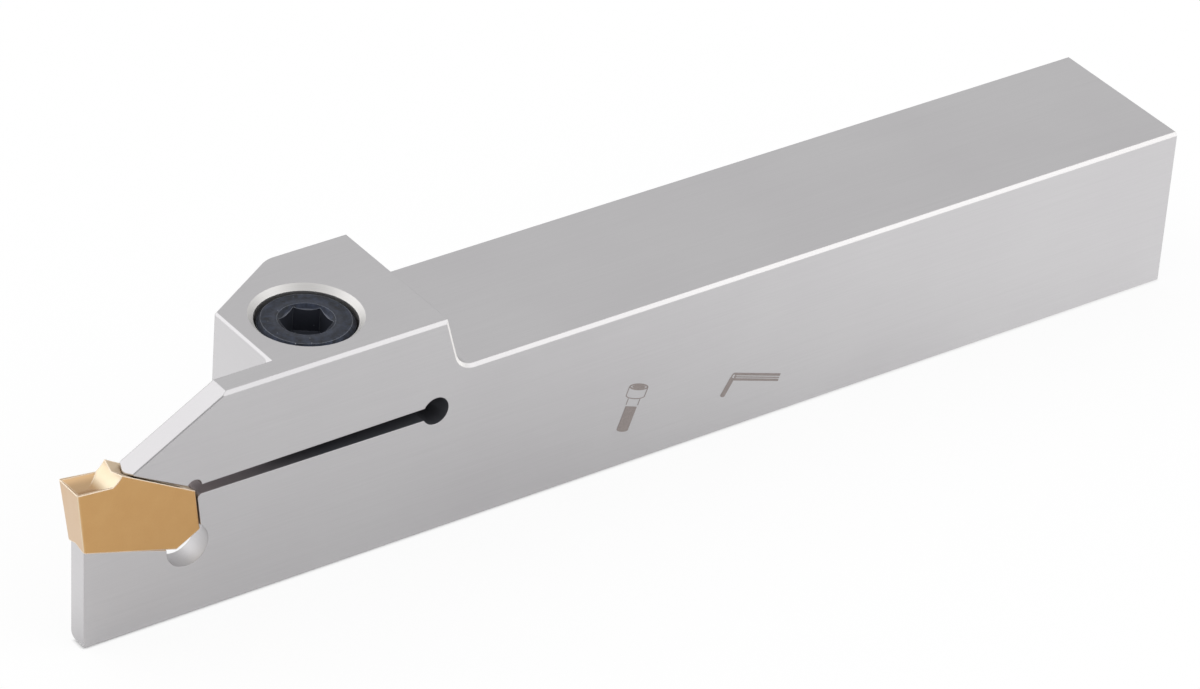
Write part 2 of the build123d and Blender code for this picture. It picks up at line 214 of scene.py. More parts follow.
# Near edges of the head and shank, paler: partly rubbed by handling, mostly a painted highlight
# that grows along the shank and is strongest on faces turned towards its end and on the near
# chamfers. The blade's stay crisp, and the chamfer along the base stays plain.
rounded = add_node(tree, "Bevel", {"samples": 6, "Radius": rub_and_glint_width})
straight = add_node(
    tree, "VectorMath", {"operation": "DOT_PRODUCT"}, {0: rounded.outputs[0], 1: normal}
)
sharp = add_node(
    tree,
    "MapRange",
    {"From Min": 0.998, "From Max": 0.95, "To Max": 0.95},
    {0: straight.outputs["Value"]},
)
near_edge = add_node(
    tree,
    "MapRange",
    {"From Min": -0.05, "From Max": -0.3},
    {0: add_node(tree, "SeparateXYZ", links={0: rounded.outputs[0]}).outputs["Y"]},
)
past_blade = add_node(
    tree, "Math", {"operation": "GREATER_THAN", 1: blade_end}, {0: height.outputs["X"]}
)
near_edge_past_blade = add_node(
    tree, "Math", {"operation": "MULTIPLY"}, {0: near_edge.outputs[0], 1: past_blade.outputs[0]}
)
chamfer = add_node(
    tree, "Math", {"operation": "COMPARE", 1: chamfer_lean, 2: 0.02}, {0: facing.outputs["Y"]}
)
above_base = add_node(
    tree, "Math", {"operation": "GREATER_THAN", 1: -0.5}, {0: facing.outputs["Z"]}
)
upper = add_node(
    tree, "Math", {"operation": "MULTIPLY"}, {0: chamfer.outputs[0], 1: above_base.outputs[0]}
)
broken = add_node(
    tree, "Math", {"operation": "MAXIMUM"}, {0: sharp.outputs[0], 1: upper.outputs[0]}
)
along = add_node(
    tree,
    "MapRange",
    {"From Min": blade_end, "From Max": brightest_edge_from, "To Max": 0.35},
    {0: height.outputs["X"]},
)
upright = add_node(tree, "MapRange", {"From Min": 0.1, "From Max": 0.5}, {0: facing.outputs["X"]})
how_much = add_node(
    tree, "Math", {"operation": "MAXIMUM"}, {0: along.outputs[0], 1: upright.outputs[0]}
)
rub_and_glint = add_node(
    tree, "Math", {"operation": "MULTIPLY"}, {0: near_edge_past_blade.outputs[0], 1: how_much.outputs[0]}
)
worn_and_glint = add_node(
    tree, "Math", {"operation": "MULTIPLY"}, {0: broken.outputs[0], 1: rub_and_glint.outputs[0]}
)

clouds = add_node(
    tree, "TexNoise", {"Scale": 1 / cloud_size, "Detail": 2.0, "Roughness": 0.5}, {0: place}
)
steel_colour = add_node(
    tree,
    "Mix",
    {"data_type": "RGBA", 6: linear("#BFBDBF"), 7: linear("#C6C5C6")},
    {0: clouds.outputs[0]},
)
lined_colour = add_node(
    tree,
    "Mix",
    {"data_type": "RGBA", "blend_type": "MULTIPLY", 0: 0.12},
    {6: steel_colour.outputs[2], 7: lines.outputs[0]},
)
# Painted highlight, partly real rubbing: the near edges are mixed towards near-white steel
worn_glint_colour = add_node(
    tree,
    "Mix",
    {"data_type": "RGBA", 7: linear("#F6F4F2")},
    {0: worn_and_glint.outputs[0], 6: lined_colour.outputs[2]},
)
# Painted shade: the wire-cut walls go from pale at the slit's mouth to dark further in
into_painted_shade = add_node(
    tree,
    "MapRange",
    {"From Min": slit_start, "From Max": slit_start + shade_depth_from_mouth},
    {0: height.outputs["X"]},
)
wire_wall_shade_colour = add_node(
    tree,
    "Mix",
    {"data_type": "RGBA", 6: linear("#A39A9B"), 7: linear("#707177")},
    {0: into_painted_shade.outputs[0]},
)
turned_colour = add_node(
    tree,
    "Mix",
    {"data_type": "RGBA", 6: linear("#BBB9B8"), 7: linear("#E4E3E1")},
    {0: rings.outputs[0]},
)
machined_colour = add_node(
    tree,
    "Mix",
    {"data_type": "RGBA"},
    {0: turned.outputs[0], 6: worn_glint_colour.outputs[2], 7: turned_colour.outputs[2]},
)
colour = add_node(
    tree,
    "Mix",
    {"data_type": "RGBA"},
    {0: wire_cut.outputs[0], 6: machined_colour.outputs[2], 7: wire_wall_shade_colour.outputs[2]},
)
satin = add_node(
    tree, "MapRange", {"To Min": 0.27, "To Max": 0.4}, {0: lines.outputs[0]}
)
cut_round = add_node(
    tree, "Math", {"operation": "MAXIMUM"}, {0: bored.outputs[0], 1: turned.outputs[0]}
)
dull = add_node(
    tree, "Math", {"operation": "MAXIMUM"}, {0: cut_round.outputs[0], 1: worn_and_glint.outputs[0]}
)
dulled = add_node(
    tree,
    "Mix",
    {"data_type": "FLOAT", 3: 0.5},
    {0: dull.outputs[0], 2: satin.outputs[0]},
)
roughness = add_node(
    tree,
    "Mix",
    {"data_type": "FLOAT", 3: 0.68},
    {0: wire_cut.outputs[0], 2: dulled.outputs[0]},
)
relief = add_node(
    tree,
    "Bump",
    {"Strength": 0.6, "Distance": lay_depth},
    {"Height": lines.outputs[0], "Normal": rounded.outputs[0]},
)
metal = add_node(tree, "MapRange", {"To Min": 1.0, "To Max": 0.35}, {0: worn_and_glint.outputs[0]})
steel = add_node(
    tree,
    "BsdfPrincipled",
    links={
        "Metallic": metal.outputs[0],
        "Base Color": colour.outputs[2],
        "Roughness": roughness.outputs[0],
        "Normal": relief.outputs[0],
    },
)
tree.links.new(steel.outputs[0], surface)

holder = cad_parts["holder_body"]
holder.data.materials.clear()
holder.data.materials.append(ground_steel)

# Cutting insert. Tungsten carbide powder, pressed to shape and sintered, with a dished chip
# former on top and vee grooves above and below. A gold titanium nitride coat covers it, and
# the jaw's spring alone holds it in its pocket.
grit = 0.06 * mm  # one grain of the pressed skin
grit_depth = 0.003 * mm
coat_cloud = 2.5 * mm
edge_glint = 0.16 * mm

# Titanium nitride on carbide: a warm gold metal, satin over a fine grainy skin. It is deep on the
# ground sides and paler where the skin is as pressed, partly its own tone and partly a painted
# sheen set by which way each face looks, with painted highlights on the chip former's back wall
# and along the sharp edges.
nitride, tree, surface = new_material("titanium_nitride_coat")
place = add_node(tree, "TexCoord").outputs["Object"]
normal = add_node(tree, "NewGeometry").outputs["Normal"]
grains = add_node(
    tree, "TexNoise", {"Scale": 1 / grit, "Detail": 3.0, "Roughness": 0.65}, {0: place}
)
patches = add_node(
    tree, "TexNoise", {"Scale": 1 / coat_cloud, "Detail": 3.0, "Roughness": 0.55}, {0: place}
)
rounded = add_node(tree, "Bevel", {"samples": 6, "Radius": edge_glint})
straight = add_node(
    tree, "VectorMath", {"operation": "DOT_PRODUCT"}, {0: rounded.outputs[0], 1: normal}
)
edge = add_node(
    tree,
    "MapRange",
    {"From Min": 0.996, "From Max": 0.94},
    {0: straight.outputs["Value"]},
)
facing = add_node(tree, "SeparateXYZ", links={0: normal})
ground_gold = add_node(
    tree,
    "Mix",
    {"data_type": "RGBA", 6: linear("#C99C65"), 7: linear("#D3A972")},
    {0: patches.outputs[0]},
)
forward = add_node(
    tree, "MapRange", {"From Min": -0.1, "From Max": -1.0}, {0: facing.outputs["X"]}
)
pressed_tone_and_sheen = add_node(tree, "ValToRGB", links={0: forward.outputs[0]})
pressed_tone_and_sheen.color_ramp.elements[0].color = linear("#C4A27A")  # floor of the chip former
pressed_tone_and_sheen.color_ramp.elements[1].color = linear("#CEB396")  # front flank, paler with painted sheen
for spot in (0.35, 0.75):
    pressed_tone_and_sheen.color_ramp.elements.new(spot).color = linear("#E6D8BE")  # back wall, a painted highlight
behind_crest = add_node(
    tree, "MapRange", {"From Min": 0.05, "From Max": 0.4}, {0: facing.outputs["X"]}
)
patchy = add_node(
    tree,
    "MapRange",
    {"From Min": 0.45, "From Max": 0.75, "To Max": 0.3},
    {0: patches.outputs[0]},
)
clouded_gold = add_node(
    tree,
    "Mix",
    {"data_type": "RGBA", 7: linear("#C9A67C")},
    {0: patchy.outputs[0], 6: pressed_tone_and_sheen.outputs[0]},
)
pressed_gold_and_sheen = add_node(
    tree,
    "Mix",
    {"data_type": "RGBA", 7: linear("#DCC6A8")},
    {0: behind_crest.outputs[0], 6: clouded_gold.outputs[2]},
)
across = add_node(tree, "Math", {"operation": "ABSOLUTE"}, {0: facing.outputs["Y"]})
side_skin = add_node(
    tree, "MapRange", {"From Min": 0.6, "From Max": 0.9}, {0: across.outputs[0]}
)
gold = add_node(
    tree,
    "Mix",
    {"data_type": "RGBA"},
    {0: side_skin.outputs[0], 6: pressed_gold_and_sheen.outputs[2], 7: ground_gold.outputs[2]},
)
grainy = add_node(
    tree,
    "Mix",
    {"data_type": "RGBA", "blend_type": "MULTIPLY", 0: 0.18},
    {6: gold.outputs[2], 7: grains.outputs[0]},
)
# Painted highlight: the sharp edges are mixed towards pale gold
edge_glinted = add_node(
    tree,
    "Mix",
    {"data_type": "RGBA", 7: linear("#FFF0DC")},
    {0: edge.outputs[0], 6: grainy.outputs[2]},
)
skin = add_node(tree, "MapRange", {"To Min": 0.3, "To Max": 0.46}, {0: grains.outputs[0]})
relief = add_node(
    tree,
    "Bump",
    {"Strength": 0.6, "Distance": grit_depth},
    {"Height": grains.outputs[0], "Normal": rounded.outputs[0]},
)
coat_metal = add_node(tree, "MapRange", {"To Min": 1.0, "To Max": 0.45}, {0: edge.outputs[0]})
coat = add_node(
    tree,
    "BsdfPrincipled",
    links={
        "Metallic": coat_metal.outputs[0],
        "Base Color": edge_glinted.outputs[2],
        "Roughness": skin.outputs[0],
        "Normal": relief.outputs[0],
    },
)
tree.links.new(coat.outputs[0], surface)

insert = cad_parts["cutting_insert"]
insert.data.materials.clear()
insert.data.materials.append(nitride)

# Clamp screw. An M5 x 12 hexagon socket cap screw of alloy steel: the head and its socket are
# cold forged, the head's side is knurled, the thread is rolled, and a hot black oxide bath
# colours it. It draws the jaw down from the recess in the head.
screw_pitch = 0.8 * mm
thread_crest = 2.48 * mm  # radius
thread_depth = 0.46 * mm
flank_slope = radians(30)  # half of a metric thread's angle
crest_width = 0.1 * mm
thread_steps = 48
thread_turns = 18
tip_chamfer = 0.6 * mm
screw_length = 12 * mm
cap_height = 5 * mm
cap_radius = 4.25 * mm
cap_sides = 132
cap_rim = 0.35 * mm
cap_foot = 0.15 * mm  # rounding under the head's edge
knurl_depth = 0.11 * mm
knurl_low = 0.7 * mm  # above the seat
knurl_high = 3.9 * mm
socket_size = 4 * mm  # across flats
socket_depth = 2.5 * mm
socket_turn = radians(25.5)
socket_mouth = 2.5 * mm  # radius of the countersink round the socket
mouth_slope = radians(38)
drill_slope = radians(31)
soft_below = radians(32)  # edges that bend by less look round
weld = 0.002 * mm  # points nearer than this are one
hair = 0.01 * mm  # overlap of shapes that cut each other, and slack in picking edges
overcut = 0.2 * mm  # by which the countersink's cone goes on at both ends


def only(*objects):
    """Selects these objects alone and makes the first of them active."""
    bpy.ops.object.select_all(action="DESELECT")
    for one in objects:
        one.select_set(True)
    bpy.context.view_layer.objects.active = objects[0]


def pick(kind, test):
    """In edit mode, selects the vertices or edges whose middle passes a test."""
    shape = bpy.context.object.data
    bpy.ops.mesh.select_all(action="DESELECT")
    bpy.ops.mesh.select_mode(type=kind)
    cage = bmesh.from_edit_mesh(shape)
    for one in cage.verts if kind == "VERT" else cage.edges:
        ends = [one] if kind == "VERT" else one.verts
        if test((ends[0].co + ends[-1].co) / 2):
            one.select_set(True)
    cage.select_flush_mode()
    bmesh.update_edit_mesh(shape)


def extrude_by(x, y, z):
    """In edit mode, extrudes what is selected."""
    bpy.ops.mesh.extrude_region_move(TRANSFORM_OT_translate={"value": (x, y, z)})


def apply_modifier(piece, kind, **settings):
    """Adds a modifier to a piece, sets it and applies it."""
    only(piece)
    modifier = piece.modifiers.new(kind.lower(), kind)
    for name, value in settings.items():
        setattr(modifier, name, value)
    bpy.ops.object.modifier_apply(modifier=modifier.name)


def combine(piece, other, operation):
    """Adds, cuts or keeps the common part of two closed shapes; the second one is used up."""
    apply_modifier(piece, "BOOLEAN", operation=operation, object=other, solver="EXACT")
    bpy.data.objects.remove(other)


# The thread's outline over one pitch, drawn from a single point and swept as a helix
flank_width = thread_depth * tan(flank_slope)
root_width = screw_pitch - crest_width - 2 * flank_width
bpy.ops.mesh.primitive_plane_add(size=mm)
screw = bpy.context.object
screw.name = "cap_screw"
bpy.ops.object.mode_set(mode="EDIT")
bpy.ops.mesh.merge(type="CENTER")
bpy.ops.transform.translate(value=(thread_crest - thread_depth, 0, 0))
extrude_by(0, 0, root_width / 2)
extrude_by(thread_depth, 0, flank_width)
extrude_by(0, 0, crest_width)
extrude_by(-thread_depth, 0, flank_width)
extrude_by(0, 0, root_width / 2)
bpy.ops.object.mode_set(mode="OBJECT")
apply_modifier(
    screw,
    "SCREW",
    axis="Z",
    angle=2 * pi,
    screw_offset=screw_pitch,
    iterations=thread_turns,
    steps=thread_steps,
    render_steps=thread_steps,
    use_merge_vertices=True,
    merge_threshold=weld,
)
bpy.ops.object.mode_set(mode="EDIT")
bpy.ops.mesh.select_all(action="SELECT")
bpy.ops.mesh.remove_doubles(threshold=weld)
bpy.ops.mesh.bisect(
    plane_co=(0, 0, screw_pitch), plane_no=(0, 0, -1), use_fill=True, clear_outer=True
)
bpy.ops.mesh.select_all(action="SELECT")
bpy.ops.mesh.bisect(
    plane_co=(0, 0, screw_pitch + screw_length + mm),
    plane_no=(0, 0, 1),
    use_fill=True,
    clear_outer=True,
)
bpy.ops.mesh.select_all(action="SELECT")
bpy.ops.mesh.normals_make_consistent(inside=False)
bpy.ops.transform.translate(value=(0, 0, -screw_pitch))
bpy.ops.object.mode_set(mode="OBJECT")

# A blank with a chamfered tip trims the thread's end
blank_length = screw_length + 2 * mm
bpy.ops.mesh.primitive_cylinder_add(
    vertices=96,
    radius=thread_crest + hair,
    depth=blank_length,
    location=(0, 0, blank_length / 2),
)
blank = bpy.context.object
bpy.ops.object.transform_apply()
bpy.ops.object.mode_set(mode="EDIT")
pick("EDGE", lambda middle: middle.z < hair)
bpy.ops.mesh.bevel(offset=tip_chamfer, segments=1, offset_type="OFFSET")
bpy.ops.object.mode_set(mode="OBJECT")
combine(screw, blank, "INTERSECT")

# The head: knurled side, chamfered rim, and a hexagon socket with a countersunk mouth
bpy.ops.mesh.primitive_cylinder_add(
    vertices=cap_sides,
    radius=cap_radius,
    depth=cap_height,
    location=(0, 0, screw_length + cap_height / 2),
)
cap = bpy.context.object
bpy.ops.object.transform_apply()
bpy.ops.object.mode_set(mode="EDIT")
for level in (knurl_low, knurl_low + knurl_depth, knurl_high - knurl_depth, knurl_high):
    bpy.ops.mesh.select_all(action="SELECT")
    bpy.ops.mesh.bisect(plane_co=(0, 0, screw_length + level), plane_no=(0, 0, 1))
knurl_turn = 2 * pi / cap_sides
low_row = screw_length + knurl_low + knurl_depth / 2
high_row = screw_length + knurl_high - knurl_depth / 2


def in_groove(middle):
    """Is true for every second corner of the head's side, between the knurl's ends."""
    place_round = Vector((0, 1)).angle_signed(Vector((middle.x, middle.y))) / knurl_turn
    return low_row < middle.z < high_row and round(place_round) % 2 == 0


pick("VERT", in_groove)
shrink = 1 - knurl_depth / cap_radius
bpy.ops.transform.resize(value=(shrink, shrink, 1), center_override=(0, 0, 0))
pick("EDGE", lambda middle: middle.z > screw_length + cap_height - hair)
bpy.ops.mesh.bevel(offset=cap_rim, segments=1, offset_type="OFFSET")
pick("EDGE", lambda middle: middle.z < screw_length + hair)
bpy.ops.mesh.bevel(offset=cap_foot, segments=2, offset_type="OFFSET")
bpy.ops.object.mode_set(mode="OBJECT")

bpy.ops.mesh.primitive_cylinder_add(
    vertices=6,
    radius=socket_size / 2 / cos(radians(30)),
    depth=2 * socket_depth,
    location=(0, 0, screw_length + cap_height),
    rotation=(0, 0, socket_turn - radians(30)),
)
socket = bpy.context.object
bpy.ops.object.transform_apply()
combine(cap, socket, "DIFFERENCE")
drill_depth = socket_size / 2 * tan(drill_slope)
bpy.ops.mesh.primitive_cone_add(
    vertices=64,
    radius1=0,
    radius2=socket_size / 2 + hair,
    depth=drill_depth,
    location=(0, 0, screw_length + cap_height - socket_depth - drill_depth / 2 + hair),
)
drill = bpy.context.object
bpy.ops.object.transform_apply()
combine(cap, drill, "DIFFERENCE")
mouth_width = socket_mouth - socket_size / 2
mouth_depth = mouth_width * tan(mouth_slope)
bpy.ops.mesh.primitive_cone_add(
    vertices=96,
    radius1=socket_size / 2 - overcut,
    radius2=socket_mouth + overcut,
    depth=mouth_depth * (mouth_width + 2 * overcut) / mouth_width,
    location=(0, 0, screw_length + cap_height - mouth_depth / 2),
)
countersink = bpy.context.object
bpy.ops.object.transform_apply()
combine(cap, countersink, "DIFFERENCE")
combine(screw, cap, "UNION")
only(screw)
screw.location = (screw_axis.x, screw_axis.y, screw_low.z)
bpy.ops.object.transform_apply()
bpy.ops.object.mode_set(mode="EDIT")
bpy.ops.mesh.select_all(action="SELECT")
bpy.ops.mesh.normals_make_consistent(inside=False)
bpy.ops.object.mode_set(mode="OBJECT")
bpy.ops.object.shade_smooth_by_angle(angle=soft_below)

mottle_size = 0.6 * mm
forge_grain = 0.12 * mm
forge_depth = 0.006 * mm
nick_spacing = 0.8 * mm
oxide_rub_and_glint = 0.09 * mm
wall_middle = -1.7 * mm  # of the socket's burnished walls, from the head's top
wall_half = 1.4 * mm
ring_radius = 2.8 * mm  # of the key's faint mark on the head's top
ring_width = 0.4 * mm

# Black oxide on forged steel: blue-black and satin, mottled, with a few bright nicks and, along
# its edges, a painted highlight that is partly rubbed oxide. Keys have burnished the socket's
# walls and a faint ring round its mouth.
black_oxide, tree, surface = new_material("black_oxide")
place = add_node(tree, "TexCoord").outputs["Object"]
mottle = add_node(
    tree, "TexNoise", {"Scale": 1 / mottle_size, "Detail": 5.0, "Roughness": 0.7}, {0: place}
)
spread = add_node(
    tree, "MapRange", {"From Min": 0.35, "From Max": 0.68}, {0: mottle.outputs[0]}
)
forged = add_node(
    tree, "TexNoise", {"Scale": 1 / forge_grain, "Detail": 3.0, "Roughness": 0.6}, {0: place}
)
nicks = add_node(
    tree, "TexVoronoi", {"Scale": 1 / nick_spacing, "Randomness": 1.0}, {0: place}
)
nicked = add_node(
    tree, "MapRange", {"From Min": 0.075, "From Max": 0.045}, {0: nicks.outputs["Distance"]}
)
oxide = add_node(
    tree,
    "Mix",
    {"data_type": "RGBA", 6: linear("#0A0D14"), 7: linear("#2D3445")},
    {0: spread.outputs[0]},
)
from_top = add_node(
    tree, "Mapping", {"Location": (-screw_axis.x, -screw_axis.y, -screw_high.z)}, {0: place}
)
flat = add_node(
    tree, "VectorMath", {"operation": "MULTIPLY", 1: (1, 1, 0)}, {0: from_top.outputs[0]}
)
radius = add_node(tree, "VectorMath", {"operation": "LENGTH"}, {0: flat.outputs[0]})
below_top = add_node(tree, "SeparateXYZ", links={0: from_top.outputs[0]})
as_deep = add_node(
    tree,
    "Math",
    {"operation": "COMPARE", 1: wall_middle, 2: wall_half},
    {0: below_top.outputs["Z"]},
)
inside = add_node(
    tree, "Math", {"operation": "LESS_THAN", 1: socket_mouth}, {0: radius.outputs["Value"]}
)
walls = add_node(
    tree, "Math", {"operation": "MULTIPLY"}, {0: as_deep.outputs[0], 1: inside.outputs[0]}
)
off_ring = add_node(
    tree, "Math", {"operation": "SUBTRACT", 1: ring_radius}, {0: radius.outputs["Value"]}
)
from_ring = add_node(tree, "Math", {"operation": "ABSOLUTE"}, {0: off_ring.outputs[0]})
ring = add_node(
    tree,
    "MapRange",
    {"From Min": ring_width, "From Max": 0.0, "To Max": 0.3},
    {0: from_ring.outputs[0]},
)
keyed = add_node(
    tree, "Math", {"operation": "MAXIMUM"}, {0: walls.outputs[0], 1: ring.outputs[0]}
)
burnished = add_node(
    tree,
    "Mix",
    {"data_type": "RGBA", 7: linear("#454852")},
    {0: keyed.outputs[0], 6: oxide.outputs[2]},
)
rounded = add_node(tree, "Bevel", {"samples": 6, "Radius": oxide_rub_and_glint})
straight = add_node(
    tree,
    "VectorMath",
    {"operation": "DOT_PRODUCT"},
    {0: rounded.outputs[0], 1: add_node(tree, "NewGeometry").outputs["Normal"]},
)
# Painted highlight, partly oxide rubbed off: sharp edges are mixed towards pale steel
rub_and_glint = add_node(
    tree,
    "MapRange",
    {"From Min": 0.995, "From Max": 0.93, "To Max": 0.8},
    {0: straight.outputs["Value"]},
)
bright = add_node(
    tree, "Math", {"operation": "MAXIMUM"}, {0: nicked.outputs[0], 1: rub_and_glint.outputs[0]}
)
colour = add_node(
    tree,
    "Mix",
    {"data_type": "RGBA", 7: linear("#8A8E96")},
    {0: bright.outputs[0], 6: burnished.outputs[2]},
)
sheen = add_node(tree, "MapRange", {"To Min": 0.32, "To Max": 0.5}, {0: forged.outputs[0]})
relief = add_node(
    tree, "Bump", {"Strength": 0.5, "Distance": forge_depth}, {"Height": forged.outputs[0]}
)
finish = add_node(
    tree,
    "BsdfPrincipled",
    {"Metallic": 0.6},
    {
        "Base Color": colour.outputs[2],
        "Roughness": sheen.outputs[0],
        "Normal": relief.outputs[0],
    },
)
tree.links.new(finish.outputs[0], surface)
screw.data.materials.clear()
screw.data.materials.append(black_oxide)
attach(screw, "root")
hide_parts("clamp_screw")

# Laser marks on the near side: small pictures of the cap screw and of the hexagon key that
# turns it. A laser has baked them into the steel, grey-brown and flush.
mark_skin = 0.006 * mm  # thickness of a mark's mesh, a hair over the steel
mark_hold = 0.002 * mm
mark_step = 0.0015 * mm  # lifts each part over the one before, so that no two share a plane
fine_line = 0.09 * mm
bold_line = 0.15 * mm
screw_mark = (-2.1 * mm, 5.7 * mm)  # middle of each picture, along and up
screw_mark_turn = radians(-20)
key_mark = (9.2 * mm, 5.35 * mm)
key_mark_turn = radians(-18.5)
key_arm_turn = radians(167)
laser_spot = 0.12 * mm
pit_depth = 0.003 * mm
side_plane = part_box("holder_body")[0].y
mark_parts = []


def mark_oval(across, up, half_width, half_height, line=None, arc=False):
    """A filled oval, its outline of a line's width, or the lower half of that outline."""
    bpy.ops.mesh.primitive_circle_add(vertices=64, radius=half_width, fill_type="NGON")
    bpy.ops.object.mode_set(mode="EDIT")
    bpy.ops.transform.resize(value=(1, half_height / half_width, 1))
    if line:
        bpy.ops.mesh.inset(thickness=line)
        bpy.ops.mesh.delete(type="FACE")
    if arc:
        bpy.ops.mesh.select_all(action="SELECT")
        bpy.ops.mesh.bisect(plane_co=(0, 0, 0), plane_no=(0, 1, 0), clear_outer=True)
    bpy.ops.object.mode_set(mode="OBJECT")
    oval = bpy.context.object
    oval.location = (across, up, len(mark_parts) * mark_step)
    bpy.ops.object.transform_apply()
    mark_parts.append(oval)


def mark_bar(across, up, width, length, turn=0.0):
    """A filled bar that reaches up from its lower end, then is turned about that end."""
    bpy.ops.mesh.primitive_plane_add(size=1)
    bpy.ops.object.mode_set(mode="EDIT")
    bpy.ops.transform.resize(value=(width, length, 1))
    bpy.ops.transform.translate(value=(0, length / 2, 0))
    bpy.ops.object.mode_set(mode="OBJECT")
    bar = bpy.context.object
    bar.rotation_euler.z = turn
    bar.location = (across, up, len(mark_parts) * mark_step)
    bpy.ops.object.transform_apply()
    mark_parts.append(bar)


def place_mark(middle, turn):
    """Joins the parts drawn since the last picture, turns them and sets them in their place."""
    only(*mark_parts)
    bpy.ops.object.join()
    picture = bpy.context.object
    picture.rotation_euler.z = turn
    picture.location = (*middle, 0)
    bpy.ops.object.transform_apply()
    mark_parts.clear()
    return picture


# The cap screw: an oval top with its socket, the head's sides, a neck and a solid thread
mark_oval(0, 2.15 * mm, 1.12 * mm, 0.34 * mm, bold_line)
mark_oval(0, 2.15 * mm, 0.78 * mm, 0.19 * mm)
mark_oval(0, 1.25 * mm, 1.12 * mm, 0.32 * mm, fine_line, arc=True)
for side in (-1, 1):
    mark_bar(side * 1.08 * mm, 1.2 * mm, fine_line, 0.93 * mm)
    mark_bar(side * 0.68 * mm, 0.35 * mm, fine_line, 0.62 * mm)
mark_bar(0, -2.1 * mm, 1.32 * mm, 2.3 * mm)
mark_oval(0, -2.1 * mm, 0.66 * mm, 0.22 * mm)
screw_picture = place_mark(screw_mark, screw_mark_turn)

# The key: a long arm of three flats, a rounded corner and a short arm
for low, width in ((-0.38, 0.24), (-0.07, 0.12), (0.14, 0.26)):
    mark_bar(0, (low + width / 2) * mm, width * mm, 5.5 * mm, radians(-90))
mark_oval(-0.02 * mm, 0, 0.3 * mm, 0.4 * mm, bold_line)
mark_bar(-0.1 * mm, -0.1 * mm, 0.55 * mm, 1.85 * mm, key_arm_turn)
mark_oval(-0.5 * mm, -1.86 * mm, 0.27 * mm, 0.2 * mm)
key_picture = place_mark(key_mark, key_mark_turn)

only(screw_picture, key_picture)
bpy.ops.object.join()
marks = bpy.context.object
marks.name = "laser_marks"
apply_modifier(marks, "SOLIDIFY", thickness=mark_skin, offset=1.0)
marks.rotation_euler.x = radians(90)
marks.location.y = side_plane + mark_hold
only(marks)
bpy.ops.object.transform_apply()

# Laser-marked steel: a thin baked oxide, matt and grey-brown, speckled by the laser's spots.
marked_steel, tree, surface = new_material("laser_marked_steel")
place = add_node(tree, "TexCoord").outputs["Object"]
spots = add_node(
    tree, "TexNoise", {"Scale": 1 / laser_spot, "Detail": 2.0, "Roughness": 0.6}, {0: place}
)
baked = add_node(
    tree,
    "Mix",
    {"data_type": "RGBA", 6: linear("#857C79"), 7: linear("#A29A97")},
    {0: spots.outputs[0]},
)
pits = add_node(
    tree, "Bump", {"Strength": 0.5, "Distance": pit_depth}, {"Height": spots.outputs[0]}
)
baked_skin = add_node(
    tree,
    "BsdfPrincipled",
    {"Metallic": 0.6, "Roughness": 0.6},
    {"Base Color": baked.outputs[2], "Normal": pits.outputs[0]},
)
tree.links.new(baked_skin.outputs[0], surface)
marks.data.materials.clear()
marks.data.materials.append(marked_steel)
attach(marks, "root")

# Studio. A white paper floor under a light tent: broad bright walls behind on the left and in
# front on the right, a dim opening for the lens, and a long lens that looks down at the tool
# from the front left.
floor_size = 3.0
floor_drop = 0.02 * mm  # a hair under the base, so that the two never share a plane
paper_fade = (-15 * mm, 70 * mm)  # along the tool, from dim to lit
paper_rise = (-13 * mm, 1 * mm)  # from before the tool to behind it
paper_glow = 1.3
contact_width = 0.32 * mm  # of the painted contact shadow beside the base
contact_fade = (-58 * mm, 59 * mm)  # along the tool, from darkest to faintest
shank_foot = ((14.25 * mm, 0.2 * mm), (44.65 * mm, 7.84 * mm))  # middle and half sizes
head_foot = ((-34.55 * mm, -2.32 * mm), (4.15 * mm, 5.32 * mm))
blade_foot = ((-48.2 * mm, -6.99 * mm), (9.5 * mm, 0.65 * mm))
bpy.ops.mesh.primitive_plane_add(size=floor_size)
floor = bpy.context.object
floor.name = "paper_floor"
floor.location.z = -floor_drop

# White paper. The lens sees it as plain white with a faint shadow and a painted contact shadow, a
# thin dark line beside the base. Mirrored in the steel it glows brighter behind the tool and
# beyond the shank's end, as painted light.
paper, tree, surface = new_material("white_paper")
path = add_node(tree, "LightPath")
seen = add_node(
    tree,
    "Math",
    {"operation": "MAXIMUM"},
    {0: path.outputs["Is Camera Ray"], 1: path.outputs["Is Transmission Ray"]},
)
place = add_node(tree, "TexCoord").outputs["Object"]
along = add_node(tree, "SeparateXYZ", links={0: place})
fade = add_node(
    tree,
    "MapRange",
    {
        "interpolation_type": "SMOOTHSTEP",
        "From Min": paper_fade[0],
        "From Max": paper_fade[1],
        "To Min": 0.22,
        "To Max": 0.85,
    },
    {0: along.outputs["X"]},
)
behind = add_node(
    tree,
    "MapRange",
    {
        "interpolation_type": "SMOOTHSTEP",
        "From Min": paper_rise[0],
        "From Max": paper_rise[1],
        "To Max": 0.88,
    },
    {0: along.outputs["Y"]},
)
brighter = add_node(
    tree, "Math", {"operation": "MAXIMUM"}, {0: fade.outputs[0], 1: behind.outputs[0]}
)
mirrored = add_node(
    tree,
    "Math",
    {"operation": "MULTIPLY"},
    {0: path.outputs["Is Glossy Ray"], 1: brighter.outputs[0]},
)
paper_light = add_node(
    tree,
    "Math",
    {"operation": "MULTIPLY_ADD", 1: paper_glow - 1, 2: 1.0},
    {0: path.outputs["Is Glossy Ray"]},
)


